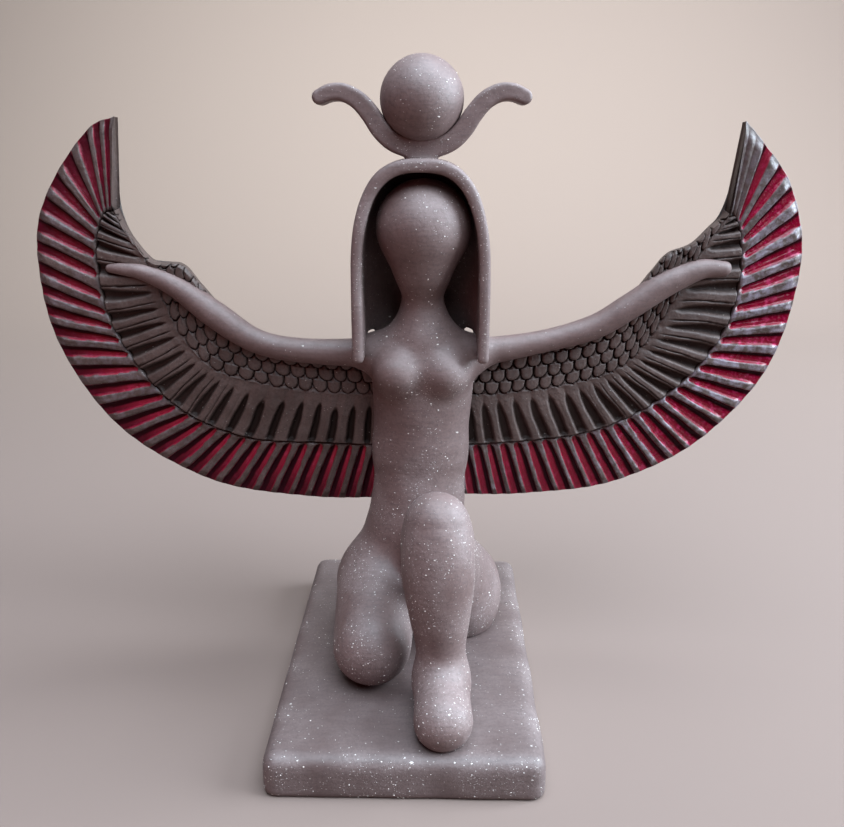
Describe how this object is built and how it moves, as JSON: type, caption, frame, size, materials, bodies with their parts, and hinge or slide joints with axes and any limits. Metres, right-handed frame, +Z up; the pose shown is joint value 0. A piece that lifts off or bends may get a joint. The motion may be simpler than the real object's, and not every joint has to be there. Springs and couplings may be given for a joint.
{
  "type": "winged goddess figurine",
  "caption": "Hand-built stoneware figurine of a faceless kneeling goddess with spread feathered wings, a hood wig, horns and a sun ball, on an oblong plinth.",
  "frame": {"origin": "middle of the plinth's underside", "axes": "+Z up, the goddess faces -Y, +X is the viewer's right and the wings spread along X"},
  "size_m": [0.2714, 0.133, 0.227],
  "materials": {
    "grogged_stoneware": "matt grey-brown stoneware with pale grog specks",
    "glazed_wing_clay": "dark brown clay, satin, with a grey sheen along the ribs and crimson glaze in the grooves of the primaries"
  },
  "bodies": {
    "root": {"plinth": "grogged_stoneware", "figure": "grogged_stoneware", "wig": "grogged_stoneware", "horns": "grogged_stoneware", "sun_ball": "grogged_stoneware", "left_wing": "glazed_wing_clay", "right_wing": "glazed_wing_clay"}
  },
  "joints": []
}
